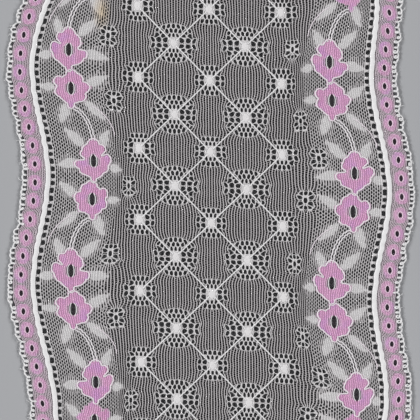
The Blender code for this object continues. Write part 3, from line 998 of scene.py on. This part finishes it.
def stems():
    # Two threads side by side in each stem, waving together, and a thin single tendril further out.
    share = np.linspace(0.0, 1.0, stem["points"])
    wiggle = stem["wiggle"] * np.sin(2.0 * np.pi * stem["turns"] * share)
    paths, thin = [], []
    for flower in flowerCentres():
        u, v = bentPath(flower, stem, share)
        if flower["upper"] or not inBand(u, v, stem["margin"]).all():
            continue
        du, dv = np.gradient(u), np.gradient(v)
        length = np.hypot(du, dv)
        for shift in (-stem["apart"], stem["apart"]):
            away = shift + wiggle
            paths.append(placed(u - away * dv / length, v + away * du / length, stem["height"]))
        u, v = bentPath(flower, tendril, share)
        if inBand(u, v, stem["margin"]).all():
            thin.append(placed(u + wiggle, v, stem["height"]))
    return makeMesh("stems", [
        threadBatch(np.array(paths), stem["radius"], pink=stem["pink"]),
        threadBatch(np.array(thin), tendril["radius"], pink=tendril["pink"]),
    ])


def linear(hexValue):
    # sRGB hex to the linear values that a shader takes, with an alpha of 1.
    value = [int(hexValue[i:i + 2], 16) / 255.0 for i in (1, 3, 5)]
    return [c / 12.92 if c <= 0.04045 else ((c + 0.055) / 1.055) ** 2.4 for c in value] + [1.0]


def addNode(tree, kind, settings=None, links=None):
    # One node. A setting goes to an input, by name or number, or to a property of the node.
    node = tree.nodes.new(kind)
    for key, value in (settings or {}).items():
        if key in node.inputs.keys() or isinstance(key, int):
            node.inputs[key].default_value = value
        else:
            setattr(node, key, value)
    for key, socket in (links or {}).items():
        tree.links.new(socket, node.inputs[key])
    return node


def newMaterial(name, roughness, sheen=0.0):
    material = bpy.data.materials.new(name)
    material.use_nodes = True
    shader = material.node_tree.nodes["Principled BSDF"]
    shader.inputs["Roughness"].default_value = roughness
    shader.inputs["Sheen Weight"].default_value = sheen
    return material, material.node_tree, shader


def colourMix(tree, first, second, share):
    # Either colour may be a hex value or a socket.
    settings = {"data_type": "RGBA"}
    links = {0: share}
    for number, colour in ((6, first), (7, second)):
        if isinstance(colour, str):
            settings[number] = linear(colour)
        else:
            links[number] = colour
    return addNode(tree, "ShaderNodeMix", settings, links).outputs[2]


def texturedYarn():
    # Textured nylon over elastane: soft and matt, pale grey in single threads and whiter where it is dense.
    # The pink yarn is streaked along the band with painted light and shade of its knitted ribs, and mottled
    # towards mauve. A patch near one end is yellowed.
    # The flanks of each yarn are painted dark as shade, so that the small holes between them stay deep.
    material, tree, shader = newMaterial("textured nylon knit", 0.72, 0.15)
    place = addNode(tree, "ShaderNodeTexCoord").outputs["Object"]
    pink = addNode(tree, "ShaderNodeAttribute", {"attribute_name": "pinkYarn"}).outputs["Fac"]
    dense = addNode(tree, "ShaderNodeAttribute", {"attribute_name": "denseKnit"}).outputs["Fac"]
    white = colourMix(tree, "#BEBABC", "#D4D2D3", dense)
    # Streaks of painted rib light and shade about 0.8 mm wide and 8 mm long, and mauve patches of 4.5 mm.
    drawn = addNode(tree, "ShaderNodeMapping", {"Scale": (1.0, 0.10, 1.0)}, {"Vector": place})
    ribShade = addNode(
        tree, "ShaderNodeTexNoise", {"Scale": 1300.0, "Detail": 2.0}, {"Vector": drawn.outputs["Vector"]})
    # Painted light and shade: the pink is lighter and darker in streaks as wide as its ribs.
    pinks = colourMix(tree, "#D08ABC", "#EEBCDE", ribShade.outputs["Fac"])
    mottle = addNode(tree, "ShaderNodeTexNoise", {"Scale": 220.0, "Detail": 1.0}, {"Vector": place})
    violet = addNode(tree, "ShaderNodeMapRange", {1: 0.5, 2: 0.75, 4: 0.5}, {0: mottle.outputs["Fac"]})
    pinks = colourMix(tree, pinks, "#D29AE0", violet.outputs["Result"])
    yarn = colourMix(tree, white, pinks, pink)
    patch = addNode(tree, "ShaderNodeMapping", {
        "vector_type": "TEXTURE", "Location": (-0.042, 0.0745, 0.0), "Scale": (0.004, 0.008, 0.01),
    }, {"Vector": place})
    fade = addNode(
        tree, "ShaderNodeTexGradient", {"gradient_type": "SPHERICAL"}, {"Vector": patch.outputs["Vector"]})
    yarn = colourMix(tree, yarn, "#C9B79C", fade.outputs["Fac"])
    # Painted shade: where upperSide falls to 0 on a yarn's keel, its colour is mixed towards dark grey.
    upper = addNode(tree, "ShaderNodeAttribute", {"attribute_name": "upperSide"}).outputs["Fac"]
    lit = addNode(tree, "ShaderNodeMath", {"operation": "POWER", 1: 6.0}, {0: upper}).outputs["Value"]
    tree.links.new(colourMix(tree, "#3A393A", yarn, lit), shader.inputs["Base Color"])
    # Where the knit is even its face is lit as if it were level.
    # The fibres are drawn 1.1 mm apart, so that they show.
    even = addNode(tree, "ShaderNodeAttribute", {"attribute_name": "evenFace"}).outputs["Fac"]
    facing = addNode(tree, "ShaderNodeNewGeometry").outputs["Normal"]
    level = addNode(
        tree, "ShaderNodeMix", {"data_type": "VECTOR", 5: (0.0, 0.0, 1.0)}, {0: even, 4: facing}).outputs[1]
    fibre = addNode(tree, "ShaderNodeTexNoise", {"Scale": 900.0, "Detail": 2.0}, {"Vector": place})
    bump = addNode(
        tree, "ShaderNodeBump", {"Strength": 0.25, "Distance": 0.0001},
        {"Height": fibre.outputs["Fac"], "Normal": level})
    tree.links.new(bump.outputs["Normal"], shader.inputs["Normal"])
    return material


def filamentYarn():
    # Bright filament nylon, laid in and not knitted, so it is smoother and whiter than the ground.
    # Its fibres are drawn 1.4 mm apart, so that they show.
    material, tree, shader = newMaterial("bright filament nylon", 0.5, 0.1)
    place = addNode(tree, "ShaderNodeTexCoord").outputs["Object"]
    pink = addNode(tree, "ShaderNodeAttribute", {"attribute_name": "pinkYarn"}).outputs["Fac"]
    fibre = addNode(
        tree, "ShaderNodeTexNoise", {"Scale": 700.0, "Detail": 2.0}, {"Vector": place}).outputs["Fac"]
    white = colourMix(tree, "#D3D2D3", "#E8E7E8", fibre)
    tree.links.new(colourMix(tree, white, "#D68CC0", pink), shader.inputs["Base Color"])
    bump = addNode(tree, "ShaderNodeBump", {"Strength": 0.2, "Distance": 0.0001}, {"Height": fibre})
    tree.links.new(bump.outputs["Normal"], shader.inputs["Normal"])
    return material


def paintedBoard():
    # A matt mid-grey painted studio board, very slightly uneven in patches of about 17 cm.
    material, tree, shader = newMaterial("matt painted board", 0.85)
    place = addNode(tree, "ShaderNodeTexCoord").outputs["Object"]
    cloud = addNode(tree, "ShaderNodeTexNoise", {"Scale": 6.0, "Detail": 3.0}, {"Vector": place})
    grey = colourMix(tree, "#9A9B9E", "#A2A3A6", cloud.outputs["Fac"])
    tree.links.new(grey, shader.inputs["Base Color"])
    return material


panels = knitPanels()
knitMaterial, brightMaterial = texturedYarn(), filamentYarn()
overlays = {
    "left_border": [cordonCord(-1), picotEdge(-1)],
    "ground": [holeRings(), latticeCords(), knotPads(), flowerOutlines(), braidHalos(), stems()],
    "right_border": [cordonCord(1), picotEdge(1)],
}
for (name, laid), (chains, ties) in zip(overlays.items(), panels):
    for piece in [chains, ties] + laid:
        soft = piece in (chains, ties) or piece.name in ("knot_pads", "hole_rings")
        piece.data.materials.append(knitMaterial if soft else brightMaterial)
        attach(piece, "root")
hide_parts("lace_band")
print("pieces placed")

stage = {
    "floor": 24.0,               # metres
    "camera": (-0.385, -1.7),
    "aim": 0.9,                  # the height at which the view is as wide as the span
    "span": 161.6,
    "lens": 100.0,
    "sensor": 36.0,
}
lamps = {"height": 24.0, "soft": 15.0, "from": {150: 2.5, 210: 1.85, 30: 1.95, 330: 1.7}, "ambient": 0.04}


def addStage():
    half = stage["floor"] / 2.0
    mesh = bpy.data.meshes.new("floor")
    corners = [(-half, -half, 0), (half, -half, 0), (half, half, 0), (-half, half, 0)]
    mesh.from_pydata(corners, [], [(0, 1, 2, 3)])
    floor = bpy.data.objects.new("floor", mesh)
    floor.data.materials.append(paintedBoard())
    bpy.context.scene.collection.objects.link(floor)


def addLamps():
    # Wide soft lights standing low on both sides, so that the knit stands out in relief.
    for azimuth, power in lamps["from"].items():
        lamp = bpy.data.lights.new(f"soft_light_{azimuth}", "SUN")
        lamp.energy, lamp.angle = power, math.radians(lamps["soft"])
        holder = bpy.data.objects.new(lamp.name, lamp)
        tilt = math.radians(90.0 - lamps["height"])
        holder.rotation_euler = (0.0, tilt, math.radians(azimuth))
        bpy.context.scene.collection.objects.link(holder)
    world = bpy.data.worlds.new("studio")
    world.use_nodes = True
    world.node_tree.nodes["Background"].inputs["Color"].default_value = linear("#F2F3F5")
    world.node_tree.nodes["Background"].inputs["Strength"].default_value = lamps["ambient"]
    bpy.context.scene.world = world


def addCamera():
    camera = bpy.data.cameras.new("camera")
    camera.lens, camera.sensor_width = stage["lens"], stage["sensor"]
    holder = bpy.data.objects.new("camera", camera)
    away = stage["span"] * stage["lens"] / stage["sensor"]
    holder.location = (stage["camera"][0] * mm, stage["camera"][1] * mm, (away + stage["aim"]) * mm)
    bpy.context.scene.collection.objects.link(holder)
    bpy.context.scene.camera = holder


addStage()
addLamps()
addCamera()
print("floor, lamps and camera placed")
bpy.context.scene.view_settings.view_transform = "Standard"
